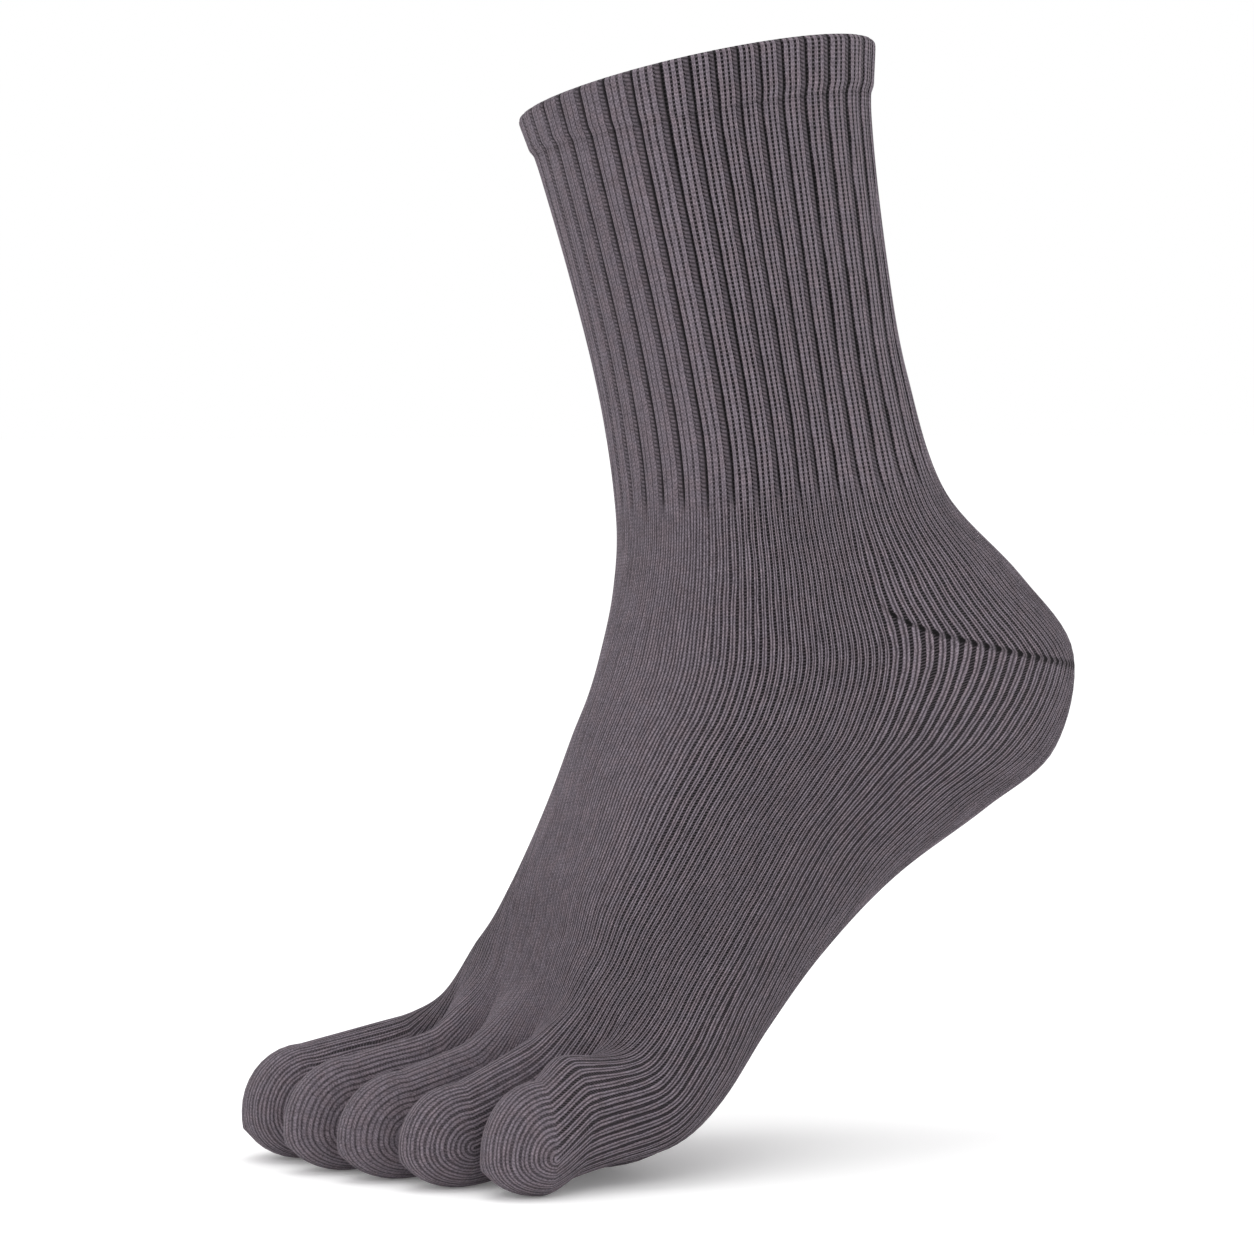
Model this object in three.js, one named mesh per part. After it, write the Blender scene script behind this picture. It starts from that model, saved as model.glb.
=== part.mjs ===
// Left toe sock as worn on a raised heel: welt, ribbed leg, foot and five toes. Millimetres, +Z up, toes to -X.
import * as THREE from "three";

// Named sizes of the sock on the foot, floor at z = 0 until the last lines.
const SOCK_HEIGHT = 248;
const SOCK_LENGTH = 200;
const FOOT_WIDTH = 88;

// Cloth.
const KNIT_WALL = 1.6;
const LEG_WALL = 2.0;
const WELT_WALL = 2.7;
const WELT_BULGE = 0.5;
const WELT_STEP = 1.4;
const RIM_ROUND = 1.2;
const RIB_DEPTH = 0.8;
const JOIN_GAP = 0.3;
const TOE_SIDE_GAP = 0.2;
const TOE_LIFT = 0.3;

// Stitch counts of the rib: ribs in the front half of the tube, and the same again in the back half.
const RIBS_PER_HALF = 21;
const WALES_PER_RIB = 4;

// The welt's share of the way from the rim to the next row of the table, how far past its own row the valleys
// between the toes start, and the power by which they deepen.
const WELT_SHARE = 0.7;
const VALLEY_SHARE = 0.2;
const VALLEY_POWER = 1.7;

// Sections of the tube from the rim to the webs of the toes. X columns are shares of the sock length, Z columns
// of its height, widths and centre y of the foot width; level is where the sides sit between front and back;
// powers round the two halves; tilt raises and slant sets back the little-toe side for each millimetre across.
const SECTIONS = [
  // name, front x, front z, back x, back z, lateral, medial, centre y, level, ridge y, powers, tilt, slant
  ["rim", -0.1, 0.945, 0.301, 0.997, 0.42, 0.42, 0.057, 0.5, 0.057, 2, 2, -0.18, 0],
  ["welt end", -0.077, 0.889, 0.299, 0.935, 0.398, 0.398, 0.051, 0.5, 0.051, 2, 2, -0.1, 0],
  ["leg", -0.03, 0.75, 0.32, 0.798, 0.364, 0.364, 0.034, 0.5, 0.034, 2, 2, -0.05, 0],
  ["leg low", -0.008, 0.657, 0.343, 0.706, 0.341, 0.341, 0.017, 0.5, 0.017, 2, 2, -0.03, 0],
  ["rib end", 0.003, 0.569, 0.394, 0.6, 0.341, 0.341, 0.006, 0.48, 0.006, 2, 2, 0, 0],
  ["ankle", -0.005, 0.508, 0.498, 0.52, 0.352, 0.352, 0, 0.46, 0, 2, 2, 0, 0],
  ["heel seam", -0.022, 0.456, 0.57, 0.448, 0.352, 0.352, 0, 0.46, 0, 2, 2, 0, 0],
  ["heel", -0.037, 0.419, 0.542, 0.357, 0.352, 0.352, 0, 0.46, 0, 2, 2.1, 0, 0],
  ["heel low", -0.05, 0.383, 0.445, 0.306, 0.364, 0.364, 0, 0.48, 0.023, 2, 2.2, 0, 0],
  ["arch back", -0.065, 0.339, 0.315, 0.246, 0.375, 0.375, 0, 0.52, 0.045, 2, 2.25, 0, 0],
  ["arch", -0.08, 0.294, 0.207, 0.179, 0.398, 0.398, 0, 0.56, 0.068, 2, 2.3, 0, 0.02],
  ["instep", -0.095, 0.25, 0.12, 0.113, 0.426, 0.426, 0, 0.6, 0.091, 2.05, 2.35, 0, 0.04],
  ["ball back", -0.098, 0.21, 0.035, 0.046, 0.46, 0.46, 0, 0.62, 0.148, 2.15, 2.4, 0, 0.07],
  ["ball", -0.111, 0.175, -0.045, 0.008, 0.483, 0.494, 0, 0.58, 0.182, 2.3, 2.5, 0, 0.1],
  ["mouth", -0.15, 0.151, -0.145, 0.004, 0.489, 0.506, 0, 0.55, 0.205, 2.35, 2.6, 0, 0.12],
  ["web", -0.175, 0.135, -0.175, 0.004, 0.489, 0.511, 0, 0.55, 0.205, 2.4, 2.6, 0, 0.12],
].map((row) => ({
  name: row[0],
  values: [
    row[1] * SOCK_LENGTH,
    row[2] * SOCK_HEIGHT,
    row[3] * SOCK_LENGTH,
    row[4] * SOCK_HEIGHT,
    row[5] * FOOT_WIDTH,
    row[6] * FOOT_WIDTH,
    row[7] * FOOT_WIDTH,
    row[8],
    row[9] * FOOT_WIDTH,
    ...row.slice(10),
  ],
}));

// Where the pieces meet, as rows of the table.
const rowOf = (name) => SECTIONS.findIndex((row) => row.name === name);
const WELT_END = rowOf("rim") + WELT_SHARE;
const RIB_END = rowOf("rib end");
const HEEL_SEAM = rowOf("heel seam");
const ARCH_BACK = rowOf("arch back");
const VALLEY_START = rowOf("ball back") + VALLEY_SHARE;
const MOUTH = rowOf("mouth");
const WEB = rowOf("web");

// Toes in order from the little toe. Tip x and turn length are shares of the sock length, y and half widths of
// the foot width, heights of the sock height; columns is how many strips the toe gets across.
const TOES = [
  // name, wales, columns, tip x, tip y, half root, half tip, top root, top tip, bottom root, turn, nose height
  ["toe_little", 17, 8, -0.263, -0.412, 0.106, 0.105, 0.117, 0.099, 0.01, 0.065, 0.036],
  ["toe_fourth", 16, 7, -0.319, -0.21, 0.093, 0.09, 0.113, 0.091, 0.006, 0.07, 0.038],
  ["toe_third", 15, 6, -0.356, -0.028, 0.089, 0.089, 0.115, 0.095, 0.004, 0.075, 0.038],
  ["toe_second", 15, 6, -0.385, 0.153, 0.089, 0.089, 0.119, 0.101, 0.004, 0.075, 0.04],
  ["toe_big", 21, 9, -0.391, 0.381, 0.123, 0.125, 0.121, 0.103, 0.004, 0.07, 0.044],
].map((row) => ({
  name: row[0],
  wales: row[1],
  columns: row[2],
  tipX: row[3] * SOCK_LENGTH,
  tipY: row[4] * FOOT_WIDTH,
  halfRoot: row[5] * FOOT_WIDTH,
  halfTip: row[6] * FOOT_WIDTH,
  topRoot: row[7] * SOCK_HEIGHT,
  topTip: row[8] * SOCK_HEIGHT,
  bottomRoot: row[9] * SOCK_HEIGHT,
  turn: row[10] * SOCK_LENGTH,
  nose: row[11] * SOCK_HEIGHT,
}));

// The webs beside each toe, from the little toe's outer side to the big toe's inner side.
const WEB_X = [-0.15, -0.1725, -0.1875, -0.2, -0.2025, -0.2].map((share) => share * SOCK_LENGTH);
const LITTLE_SIDE_Y = -0.489 * FOOT_WIDTH;

// Each toe's place in the row of toes: the y of its root, the wale it starts at, and its two webs.
let rootEdge = LITTLE_SIDE_Y;
let waleCount = 0;
TOES.forEach((toe, index) => {
  toe.rootY = rootEdge + toe.halfRoot;
  toe.firstWale = waleCount;
  toe.webs = [WEB_X[index], WEB_X[index + 1]];
  rootEdge += 2 * toe.halfRoot;
  waleCount += toe.wales;
});

// Arc length along the middle of the table's sections, and the row values at any length along it.
const middle = SECTIONS.map(({ values: v }) => [(v[0] + v[2]) / 2, (v[1] + v[3]) / 2]);
const stations = [0];
for (let i = 1; i < middle.length; i++) {
  const step = Math.hypot(middle[i][0] - middle[i - 1][0], middle[i][1] - middle[i - 1][1]);
  stations.push(stations[i - 1] + step);
}

function stationOf(rowCount) {
  const i = Math.min(Math.floor(rowCount), stations.length - 2);
  return stations[i] + (rowCount - i) * (stations[i + 1] - stations[i]);
}

function slopeAt(i, k) {
  const before = Math.max(i - 1, 0);
  const after = Math.min(i + 1, SECTIONS.length - 1);
  return (SECTIONS[after].values[k] - SECTIONS[before].values[k]) / (stations[after] - stations[before]);
}

function valuesAt(station) {
  let i = stations.findIndex((s) => s > station) - 1;
  if (i < 0) i = station <= 0 ? 0 : stations.length - 2;
  const h = stations[i + 1] - stations[i];
  const t = (station - stations[i]) / h;
  const from = SECTIONS[i].values;
  const to = SECTIONS[i + 1].values;
  return from.map(
    (a, k) =>
      (2 * t ** 3 - 3 * t ** 2 + 1) * a +
      (t ** 3 - 2 * t ** 2 + t) * h * slopeAt(i, k) +
      (3 * t ** 2 - 2 * t ** 3) * to[k] +
      (t ** 3 - t ** 2) * h * slopeAt(i + 1, k),
  );
}

// One section: the front half and the back half, each from the little-toe side to the big-toe side, with points
// at the given shares of each half's own length, so that the wales are spaced evenly.
const ARC_STEPS = 180;
function ovalAt(station, shares) {
  const [fx, fz, bx, bz, lateral, medial, cy, level, ridgeY, frontPower, backPower, tilt, slant] = valuesAt(station);
  const centre = new THREE.Vector3(fx + (bx - fx) * level, cy, fz + (bz - fz) * level);
  const half = (tip, power) => {
    const reach = tip.clone().sub(centre);
    const points = [];
    const lengths = [0];
    for (let i = 0; i <= ARC_STEPS; i++) {
      const angle = (i / ARC_STEPS) * Math.PI;
      const side = Math.cos(angle);
      const width = side > 0 ? -lateral : medial;
      const p = centre.clone().addScaledVector(reach, Math.abs(Math.sin(angle)) ** (2 / power));
      p.y += Math.abs(side) ** (2 / power) * width;
      p.z += tilt * (p.y - cy);
      p.x -= slant * (p.y - cy);
      if (i > 0) lengths.push(lengths[i - 1] + p.distanceTo(points[i - 1]));
      points.push(p);
    }
    return shares.map((share) => {
      const wanted = share * lengths[ARC_STEPS];
      let i = lengths.findIndex((l) => l >= wanted);
      if (i < 1) i = share > 0.5 ? ARC_STEPS : 1;
      const t = (wanted - lengths[i - 1]) / (lengths[i] - lengths[i - 1]);
      return points[i - 1].clone().lerp(points[i], Math.min(Math.max(t, 0), 1));
    });
  };
  return {
    front: half(new THREE.Vector3(fx, ridgeY, fz), frontPower),
    back: half(new THREE.Vector3(bx, cy, bz), backPower),
  };
}

// A toe's cross-section point: sheet 1 is the top and -1 the sole, turn runs 0 to pi across the toe.
function webLine(toe, turn) {
  return toe.webs[0] + ((toe.webs[1] - toe.webs[0]) * (1 - Math.cos(turn))) / 2;
}

function toePoint(toe, x, turn, sheet, inset, sideGap) {
  const root = webLine(toe, turn);
  let t = (x - root) / (toe.tipX + toe.turn - root);
  if (t < 0) t /= 1 - 2 * t;
  const soleRise = toe.bottomRoot * (1 - Math.min(Math.max(t, 0), 1)) ** 2;
  const top = toe.topRoot + (toe.topTip - toe.topRoot) * t;
  const sideRoot = (toe.topRoot + toe.bottomRoot) / 2;
  const side = sideRoot + (toe.nose - sideRoot) * t;
  const reach = sheet > 0 ? top - side - inset : side - soleRise - inset;
  const half = toe.halfRoot + (toe.halfTip - toe.halfRoot) * t - inset - sideGap;
  return new THREE.Vector3(
    x,
    toe.rootY + (toe.tipY - toe.rootY) * t - half * Math.cos(turn),
    TOE_LIFT + side + sheet * reach * Math.sin(turn),
  );
}

// Columns of the foot: each toe's share of the half circumference, cut into that toe's strips.
const FOOT_COLUMNS = TOES.reduce((sum, toe) => sum + toe.columns, 0);
const footShares = [0];
TOES.forEach((toe) => {
  for (let j = 1; j <= toe.columns; j++) {
    footShares.push((toe.firstWale + (j / toe.columns) * toe.wales) / waleCount);
  }
});

// A section of the foot. Ahead of the valleys' start it turns step by step into the five toes side by side.
function footSection(station) {
  const { front, back } = ovalAt(station, footShares);
  const start = stationOf(VALLEY_START);
  const along = (station - start) / (stationOf(WEB) - start);
  if (along <= 0) return { front, back };
  const web = ovalAt(stationOf(WEB), footShares);
  const mix = along ** VALLEY_POWER;
  const lobes = { front: front.map(() => []), back: back.map(() => []) };
  let first = 0;
  TOES.forEach((toe) => {
    for (let j = 0; j <= toe.columns; j++) {
      const turn = (j / toe.columns) * Math.PI;
      const at = first + j;
      const shift = webLine(toe, turn);
      lobes.front[at].push(toePoint(toe, front[at].x + shift - web.front[at].x, turn, 1, 0, 0));
      lobes.back[at].push(toePoint(toe, back[at].x + shift - web.back[at].x, turn, -1, 0, 0));
    }
    first += toe.columns;
  });
  const blend = (points, sets) =>
    points.map((p, i) => {
      const lobe = new THREE.Vector3();
      sets[i].forEach((q) => lobe.addScaledVector(q, 1 / sets[i].length));
      return p.clone().lerp(lobe, mix);
    });
  return { front: blend(front, lobes.front), back: blend(back, lobes.back) };
}

// A closed ring of points: over the front to the big-toe side and back under the sole.
function ringOf({ front, back }) {
  return [...front, ...back.slice(1, -1).reverse()];
}

// Rings at the given stations, each point moved out along the surface normal by the distance for its row and
// column. The normal comes from the sections half a millimetre before and after, so neighbours agree at a join.
const NORMAL_STEP = 0.5;
function ringsAt(section, rows, distance) {
  return rows.map((station, i) => {
    const ring = ringOf(section(station));
    const before = ringOf(section(station - NORMAL_STEP));
    const after = ringOf(section(station + NORMAL_STEP));
    return ring.map((p, j) => {
      const across = ring[(j + 1) % ring.length].clone().sub(ring[(j + ring.length - 1) % ring.length]);
      const normal = across.cross(after[j].clone().sub(before[j])).normalize();
      return p.clone().addScaledVector(normal, distance(i, j));
    });
  });
}

// Triangles between two closed rings that may hold different numbers of points, stepping by share of a turn.
function stitch(triangles, a, b) {
  let i = 0;
  let j = 0;
  while (i < a.length || j < b.length) {
    const stepA = j >= b.length || (i < a.length && (i + 1) / a.length <= (j + 1) / b.length + 1e-9);
    const pa = a[i % a.length];
    const pb = b[j % b.length];
    if (stepA) triangles.push(pa, a[(i + 1) % a.length], pb), i++;
    else triangles.push(pa, b[(j + 1) % b.length], pb), j++;
  }
}

// Four-cornered patches between rows of a grid.
function patch(triangles, rows) {
  for (let i = 0; i + 1 < rows.length; i++) {
    for (let j = 0; j + 1 < rows[i].length; j++) {
      triangles.push(rows[i][j], rows[i][j + 1], rows[i + 1][j]);
      triangles.push(rows[i][j + 1], rows[i + 1][j + 1], rows[i + 1][j]);
    }
  }
}

const knit = new THREE.MeshStandardMaterial({ color: 0x5c545b, roughness: 0.95, metalness: 0 });

// A mesh from a list of triangle corners, turned to face out.
function meshOf(name, triangles) {
  const kept = [];
  let volume = 0;
  for (let i = 0; i < triangles.length; i += 3) {
    const [a, b, c] = triangles.slice(i, i + 3);
    if (a.distanceTo(b) < 2e-3 || b.distanceTo(c) < 2e-3 || c.distanceTo(a) < 2e-3) continue;
    kept.push([a, b, c]);
    volume += a.dot(b.clone().cross(c)) / 6;
  }
  const numbers = kept.flatMap(([a, b, c]) => (volume > 0 ? [a, b, c] : [a, c, b]).flatMap((p) => [p.x, p.y, p.z]));
  const geometry = new THREE.BufferGeometry();
  geometry.setAttribute("position", new THREE.Float32BufferAttribute(numbers, 3));
  geometry.computeVertexNormals();
  const mesh = new THREE.Mesh(geometry, knit);
  mesh.name = name;
  return mesh;
}

// A tube with a wall: its outer rings, then its inner rings back to the start.
function tube(name, outer, inner) {
  const triangles = [];
  const path = [...outer, ...inner.slice().reverse()];
  path.forEach((ring, i) => stitch(triangles, ring, path[(i + 1) % path.length]));
  return meshOf(name, triangles);
}

function spread(from, to, count) {
  return Array.from({ length: count }, (_, i) => from + ((to - from) * i) / (count - 1));
}

// Leg and welt rings: every wale has a column outside, the sunk wale of each rib being the groove.
const waleShares = spread(0, 1, RIBS_PER_HALF * WALES_PER_RIB + 1);
const ribShares = spread(0, 1, RIBS_PER_HALF + 1);

function legRings(rows, shares, distance) {
  return ringsAt((station) => ovalAt(station, shares), rows, distance);
}

function groove(column) {
  return column % WALES_PER_RIB === 0 ? -RIB_DEPTH : 0;
}

const weltEnd = stationOf(WELT_END);
const ribEnd = stationOf(RIB_END);
const mouth = stationOf(MOUTH);

// Welt: the turned-over top band. Outside it bulges past the leg; the rim is rounded over into the inside.
const weltRows = [weltEnd - JOIN_GAP / 2, weltEnd - WELT_STEP, weltEnd / 2, RIM_ROUND, RIM_ROUND / 4];
const weltOut = [0, WELT_BULGE, WELT_BULGE, WELT_BULGE, -WELT_WALL / 4];
const welt = tube(
  "welt",
  legRings(weltRows, waleShares, (i, j) => weltOut[i] + groove(j) * (i === 4 ? 0.5 : 1)),
  legRings([weltRows[0], weltRows[2], RIM_ROUND, weltRows[4]], ribShares, (i) => (i === 3 ? -0.75 : -1) * LEG_WALL),
);

// Ribbed leg, from under the welt to the end of the ribs.
const LEG_ROWS = 5;
const legRows = spread(weltEnd + JOIN_GAP / 2, ribEnd - JOIN_GAP / 2, LEG_ROWS);
const leg = tube(
  "ribbed_leg",
  legRings(legRows, waleShares, (i, j) => groove(j) * (i === LEG_ROWS - 1 ? 0.4 : 1)),
  legRings(spread(weltEnd + JOIN_GAP / 2, ribEnd - JOIN_GAP / 2, 5), ribShares, () => -LEG_WALL),
);

// Plain knit: ankle, heel and foot are tubes that meet at a gap, from the end of the ribs to the mouth where the
// toes start. Inside, the ankle and the heel have one column for each rib, and the foot the columns of its toes.
function plainTube(name, fromRow, toRow, rowsPerSection, innerShares) {
  const count = (toRow - fromRow) * rowsPerSection;
  const rows = spread(fromRow, toRow, count + 1).map(stationOf);
  rows[0] += JOIN_GAP / 2;
  rows[count] -= toRow < MOUTH ? JOIN_GAP / 2 : 0;
  const innerRows = rows.filter((_, i) => i % 2 === 0 || i === count || (innerShares === footShares && i > count - 3));
  const inside = innerShares === footShares ? footSection : (station) => ovalAt(station, innerShares);
  return { name, outer: ringsAt(footSection, rows, () => 0), inner: ringsAt(inside, innerRows, () => -KNIT_WALL) };
}

const ankle = plainTube("ankle", RIB_END, HEEL_SEAM, 2, ribShares);
const heel = plainTube("heel", HEEL_SEAM, ARCH_BACK, 3, ribShares);
const foot = plainTube("foot", ARCH_BACK, MOUTH, 2, footShares);

// The inner wall of the foot ends no farther forward than its outer wall.
const mouthRing = foot.outer[foot.outer.length - 1];
foot.inner[foot.inner.length - 1].forEach((p, j) => {
  p.x = Math.max(p.x, mouthRing[j].x);
});
const plainTubes = [ankle, heel, foot].map(({ name, outer, inner }) => tube(name, outer, inner));

// Toes: over the top, round the tip and back along the sole, closed at the sides and open to the foot.
const mouthSection = footSection(mouth);
const ALONG_STEPS = 4;
const TURN_STEPS = 6;

function toeRows(toe, firstColumn, inset) {
  const turns = Array.from({ length: toe.columns + 1 }, (_, j) => (j / toe.columns) * Math.PI);
  const starts = turns.map((_, j) => {
    const at = firstColumn + j;
    return Math.min(mouthSection.front[at].x, mouthSection.back[at].x) - JOIN_GAP;
  });
  const bend = toe.tipX + toe.turn;
  const along = (sheet) =>
    spread(0, 1, ALONG_STEPS + 1).map((t) =>
      turns.map((turn, j) => toePoint(toe, starts[j] + (bend - starts[j]) * t, turn, sheet, inset, TOE_SIDE_GAP)),
    );
  const nose = spread(0, 1, TURN_STEPS + 1).map((t) => {
    const angle = t * Math.PI;
    const reach = t < 0.5 ? toe.topTip - toe.nose : toe.nose;
    return turns.map(
      (turn) =>
        new THREE.Vector3(
          bend - (toe.turn - inset) * Math.sin(angle) * Math.sin(turn),
          toe.tipY - (toe.halfTip - inset - TOE_SIDE_GAP) * Math.cos(turn),
          TOE_LIFT + toe.nose + (reach - inset) * Math.cos(angle) * Math.sin(turn),
        ),
    );
  });
  return [...along(1).slice(0, -1), ...nose, ...along(-1).reverse().slice(1)];
}

let firstColumn = 0;
const toes = TOES.map((toe) => {
  const outer = toeRows(toe, firstColumn, 0);
  const inner = toeRows(toe, firstColumn, KNIT_WALL);
  const end = outer.length - 1;
  const triangles = [];
  patch(triangles, outer);
  patch(triangles, inner.slice().reverse());
  patch(triangles, [inner[0], outer[0]]);
  patch(triangles, [outer[end], inner[end]]);
  firstColumn += toe.columns;
  return meshOf(toe.name, triangles);
});

// The part's own frame has its origin at the centre of the cuff opening.
const sock = new THREE.Group();
sock.name = "toe_sock";
sock.add(welt, leg, ...plainTubes, ...toes);
const rim = SECTIONS[0].values;
sock.position.set(-(rim[0] + rim[2]) / 2, -rim[6], -(rim[1] + rim[3]) / 2);

export default sock;
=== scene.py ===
"""Left toe sock in grey-mauve cotton: turned-over welt, ribbed leg, plain-knit foot and five toe pockets.

Each surface is a function of the way along the sock and the wale round it, so every stitch follows the cloth.
Metres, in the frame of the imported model: origin in the cuff opening, toes towards -X, big toe towards +Y.
"""

import math

import bpy
import numpy as np
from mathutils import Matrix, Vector


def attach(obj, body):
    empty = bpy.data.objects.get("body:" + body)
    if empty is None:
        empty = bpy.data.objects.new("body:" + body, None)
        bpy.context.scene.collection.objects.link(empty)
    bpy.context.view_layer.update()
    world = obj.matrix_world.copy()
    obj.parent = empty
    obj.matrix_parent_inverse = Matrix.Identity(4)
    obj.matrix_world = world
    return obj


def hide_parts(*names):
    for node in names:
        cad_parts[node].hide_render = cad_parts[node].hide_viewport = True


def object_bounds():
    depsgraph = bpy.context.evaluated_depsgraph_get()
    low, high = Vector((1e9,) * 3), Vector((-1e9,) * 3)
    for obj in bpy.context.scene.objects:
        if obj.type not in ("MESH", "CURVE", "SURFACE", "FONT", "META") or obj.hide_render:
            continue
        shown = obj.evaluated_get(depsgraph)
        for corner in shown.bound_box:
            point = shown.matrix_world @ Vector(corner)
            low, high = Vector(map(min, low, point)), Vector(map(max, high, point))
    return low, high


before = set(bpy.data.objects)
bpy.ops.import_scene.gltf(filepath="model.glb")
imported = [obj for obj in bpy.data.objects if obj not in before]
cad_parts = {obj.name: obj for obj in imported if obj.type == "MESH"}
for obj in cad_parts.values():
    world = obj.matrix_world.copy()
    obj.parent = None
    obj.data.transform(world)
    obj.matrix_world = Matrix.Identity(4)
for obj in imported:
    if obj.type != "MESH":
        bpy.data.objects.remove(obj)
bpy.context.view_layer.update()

# Named sizes, with the floor at z = 0 until the frame's origin is taken off.
MM = 0.001
SOCK_HEIGHT = 248 * MM
SOCK_LENGTH = 200 * MM
FOOT_WIDTH = 88 * MM
WELT_WALL = 2.7 * MM
LEG_WALL = 2.0 * MM
KNIT_WALL = 1.6 * MM
WELT_BULGE = 0.6 * MM
WALE_RELIEF = 0.13 * MM
TOE_LIFT = 0.3 * MM

# Stitches: wales in each half of the tube, mesh columns to a wale, and the height of one course.
HALF_WALES = 84
WALES_PER_RIB = 4
COLUMNS_PER_WALE = 4
COURSE = 0.72 * MM
RIB_COURSE = 0.9 * MM

# Where the pieces meet and the valleys between the toes start, counted in rows of the section table.
WELT_END = 0.7
RIB_END = 4
HEEL_SEAM = 6
VALLEY_START = 12.2
VALLEY_POWER = 1.7

# Samples of the curves that are read by mixing: across a section, round a toe and along the sock.
SECTION_SAMPLES = 241
TOE_SAMPLES = 721
SHEET_ROWS = 700

# Sections of the tube. X as shares of the sock length, Z of its height, widths and y of the foot width.
# front x, front z, back x, back z, lateral, medial, centre y, level, ridge y, front and back power, tilt, slant
SECTIONS = {
    "rim": (-0.1, 0.945, 0.301, 0.997, 0.42, 0.42, 0.057, 0.5, 0.057, 2, 2, -0.18, 0),
    "welt end": (-0.077, 0.889, 0.299, 0.935, 0.398, 0.398, 0.051, 0.5, 0.051, 2, 2, -0.1, 0),
    "leg": (-0.03, 0.75, 0.32, 0.798, 0.364, 0.364, 0.034, 0.5, 0.034, 2, 2, -0.05, 0),
    "leg low": (-0.008, 0.657, 0.343, 0.706, 0.341, 0.341, 0.017, 0.5, 0.017, 2, 2, -0.03, 0),
    "rib end": (0.003, 0.569, 0.394, 0.6, 0.341, 0.341, 0.006, 0.48, 0.006, 2, 2, 0, 0),
    "ankle": (-0.005, 0.508, 0.498, 0.52, 0.352, 0.352, 0, 0.46, 0, 2, 2, 0, 0),
    "heel seam": (-0.022, 0.456, 0.57, 0.448, 0.352, 0.352, 0, 0.46, 0, 2, 2, 0, 0),
    "heel": (-0.037, 0.419, 0.542, 0.357, 0.352, 0.352, 0, 0.46, 0, 2, 2.1, 0, 0),
    "heel low": (-0.05, 0.383, 0.445, 0.306, 0.364, 0.364, 0, 0.48, 0.023, 2, 2.2, 0, 0),
    "arch back": (-0.065, 0.339, 0.315, 0.246, 0.375, 0.375, 0, 0.52, 0.045, 2, 2.25, 0, 0),
    "arch": (-0.08, 0.294, 0.207, 0.179, 0.398, 0.398, 0, 0.56, 0.068, 2, 2.3, 0, 0.02),
    "instep": (-0.095, 0.25, 0.12, 0.113, 0.426, 0.426, 0, 0.6, 0.091, 2.05, 2.35, 0, 0.04),
    "ball back": (-0.098, 0.21, 0.035, 0.046, 0.46, 0.46, 0, 0.62, 0.148, 2.15, 2.4, 0, 0.07),
    "ball": (-0.111, 0.175, -0.045, 0.008, 0.483, 0.494, 0, 0.58, 0.182, 2.3, 2.5, 0, 0.1),
    "mouth": (-0.15, 0.151, -0.145, 0.004, 0.489, 0.506, 0, 0.55, 0.205, 2.35, 2.6, 0, 0.12),
    "web": (-0.175, 0.135, -0.175, 0.004, 0.489, 0.511, 0, 0.55, 0.205, 2.4, 2.6, 0, 0.12),
}
SECTION_SCALE = np.array([SOCK_LENGTH, SOCK_HEIGHT] * 2 + [FOOT_WIDTH] * 3 + [1, FOOT_WIDTH] + [1] * 4)

# Toes from the little one: wales, then tip x and turn length as shares of the sock length, y and half widths of
# the foot width, and heights of the sock height.
# wales, tip x, tip y, half root, half tip, top root, top tip, bottom root, turn, nose height
TOES = {
    "little": (17, -0.263, -0.412, 0.106, 0.105, 0.117, 0.099, 0.01, 0.065, 0.036),
    "fourth": (16, -0.319, -0.21, 0.093, 0.09, 0.113, 0.091, 0.006, 0.07, 0.038),
    "third": (15, -0.356, -0.028, 0.089, 0.089, 0.115, 0.095, 0.004, 0.075, 0.038),
    "second": (15, -0.385, 0.153, 0.089, 0.089, 0.119, 0.101, 0.004, 0.075, 0.04),
    "big": (21, -0.391, 0.381, 0.123, 0.125, 0.121, 0.103, 0.004, 0.07, 0.044),
}
TOE_SCALE = np.array([SOCK_LENGTH] + [FOOT_WIDTH] * 3 + [SOCK_HEIGHT] * 3 + [SOCK_LENGTH, SOCK_HEIGHT])

# Where the toes leave the foot: x from the little toe's outer side over the four webs to the big toe's, and y of
# the little toe's outer side.
WEB_X = np.array([-0.15, -0.1725, -0.1875, -0.2, -0.2025, -0.2]) * SOCK_LENGTH
LITTLE_SIDE_Y = -0.489 * FOOT_WIDTH

section_rows = np.array(list(SECTIONS.values())) * SECTION_SCALE
rim_row = section_rows[0]
ORIGIN = np.array([(rim_row[0] + rim_row[2]) / 2, rim_row[6], (rim_row[1] + rim_row[3]) / 2])


def smoothstep(x, low, high):
    """0 below low, 1 above high, and 3t^2 - 2t^3 between them."""
    t = np.clip((x - low) / (high - low), 0, 1)
    return t * t * (3 - 2 * t)


def distance_along(points, axis):
    """Length of the polyline through the points along one axis of the array, starting at 0."""
    steps = np.linalg.norm(np.diff(points, axis=axis), axis=-1)
    start = np.zeros_like(np.take(steps, [0], axis=axis))
    return np.concatenate([start, np.cumsum(steps, axis=axis)], axis=axis)


middle = (section_rows[:, [0, 1]] + section_rows[:, [2, 3]]) / 2
stations = distance_along(middle, 0)


def station_of(row):
    """Length along the sock at a fractional row of the section table."""
    return np.interp(row, np.arange(len(stations)), stations)


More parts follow.
